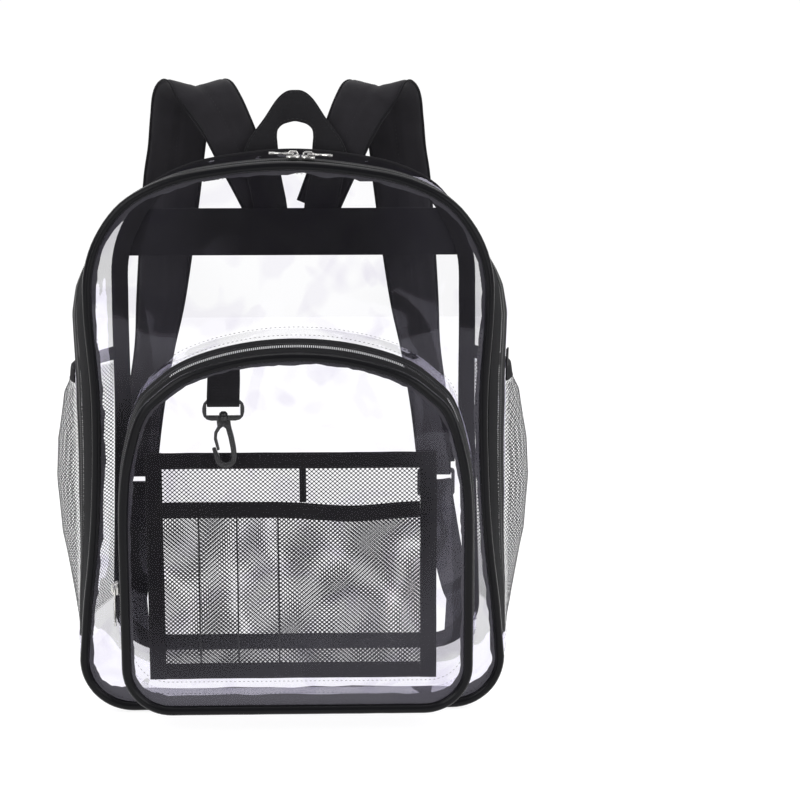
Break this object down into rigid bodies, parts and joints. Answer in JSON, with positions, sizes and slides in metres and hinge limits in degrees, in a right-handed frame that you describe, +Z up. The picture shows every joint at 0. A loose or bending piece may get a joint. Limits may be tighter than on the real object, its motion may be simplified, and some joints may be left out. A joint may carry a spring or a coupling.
{
  "type": "clear stadium backpack",
  "caption": "Clear vinyl backpack with black trim, zipped front pocket with net organiser and key hook, net side pockets, carrying handle and padded shoulder straps",
  "frame": {"origin": "on the floor, below the middle of the bag's bounding box", "axes": "+Z up, the front with its pocket faces -Y, the shoulder straps are on +Y, +X to the bag's left as worn"},
  "size_m": [0.3718, 0.2618, 0.4758],
  "materials": {
    "clear_vinyl": "clear glossy vinyl",
    "clear_vinyl_thin": "clear glossy vinyl",
    "black_vinyl": "glossy vinyl piping",
    "black_cloth": "woven binding",
    "strap_cloth": "padded woven cloth and webbing",
    "zip_cloth": "woven zip tape",
    "coil_plastic": "zip coil",
    "net": "open diamond net",
    "black_plastic": "moulded plastic",
    "bright_metal": "bright nickel"
  },
  "bodies": {
    "bag": {"adjuster_left": "black_plastic", "adjuster_right": "black_plastic", "anchor_left": "black_cloth", "anchor_right": "black_cloth", "back_binding": "black_cloth", "back_panel": "clear_vinyl", "base_band": "black_cloth", "bottom_gusset": "clear_vinyl", "front_panel": "clear_vinyl", "front_piping": "black_vinyl", "handle": "strap_cloth", "key_tab": "strap_cloth", "left_slider": "bright_metal", "main_coil": "coil_plastic", "main_end_left": "clear_vinyl_thin", "main_end_right": "clear_vinyl_thin", "main_tape_back": "zip_cloth", "main_tape_front": "zip_cloth", "organiser_bottom": "black_cloth", "organiser_divider": "black_cloth", "organiser_left": "black_cloth", "organiser_middle": "black_cloth", "organiser_net_back": "net", "organiser_net_front": "net", "organiser_right": "black_cloth", "organiser_top": "black_cloth", "pocket_bottom": "clear_vinyl_thin", "pocket_coil": "coil_plastic", "pocket_end_left": "clear_vinyl_thin", "pocket_end_right": "clear_vinyl_thin", "pocket_front": "clear_vinyl_thin", "pocket_gusset": "clear_vinyl_thin", "pocket_piping": "black_vinyl", "pocket_slider": "bright_metal", "pocket_tape_back": "zip_cloth", "pocket_tape_front": "zip_cloth", "right_slider": "bright_metal", "side_elastic_left": "black_cloth", "side_elastic_right": "black_cloth", "side_gusset": "clear_vinyl", "side_net_left": "net", "side_net_right": "net", "side_tab": "black_cloth", "strap_left": "strap_cloth", "strap_right": "strap_cloth", "webbing_left": "strap_cloth", "webbing_right": "strap_cloth", "yoke_band": "black_cloth"},
    "swivel_loop": {"hook_loop": "black_plastic"},
    "hook": {"snap_hook": "black_plastic"},
    "top_pull_left": {"left_pull": "bright_metal"},
    "top_pull_right": {"right_pull": "bright_metal"},
    "front_pocket_pull": {"pocket_pull": "bright_metal"}
  },
  "joints": [
    {"name": "loop_swing", "type": "hinge", "parent": "bag", "child": "swivel_loop", "pos_m": [-0.049, -0.0924, 0.2442], "axis": [-1, 0, 0], "range_deg": [0, 30]},
    {"name": "hook_swivel", "type": "hinge", "parent": "swivel_loop", "child": "hook", "pos_m": [-0.049, -0.0924, 0.2297], "axis": [0, 0, 1], "continuous": true},
    {"name": "top_pull_left_swing", "type": "hinge", "parent": "bag", "child": "top_pull_left", "pos_m": [0.00366, -0.05885, 0.42404], "axis": [0.0029, 0.9959, 0.0908], "range_deg": [0, 95]},
    {"name": "top_pull_right_swing", "type": "hinge", "parent": "bag", "child": "top_pull_right", "pos_m": [0.01483, -0.05885, 0.42354], "axis": [-0.0041, -0.9959, -0.0902], "range_deg": [0, 95]},
    {"name": "front_pocket_pull_swing", "type": "hinge", "parent": "bag", "child": "front_pocket_pull", "pos_m": [-0.13047, -0.11413, 0.10794], "axis": [-0.2341, 0.9722, 0.0007], "range_deg": [0, 150]}
  ]
}
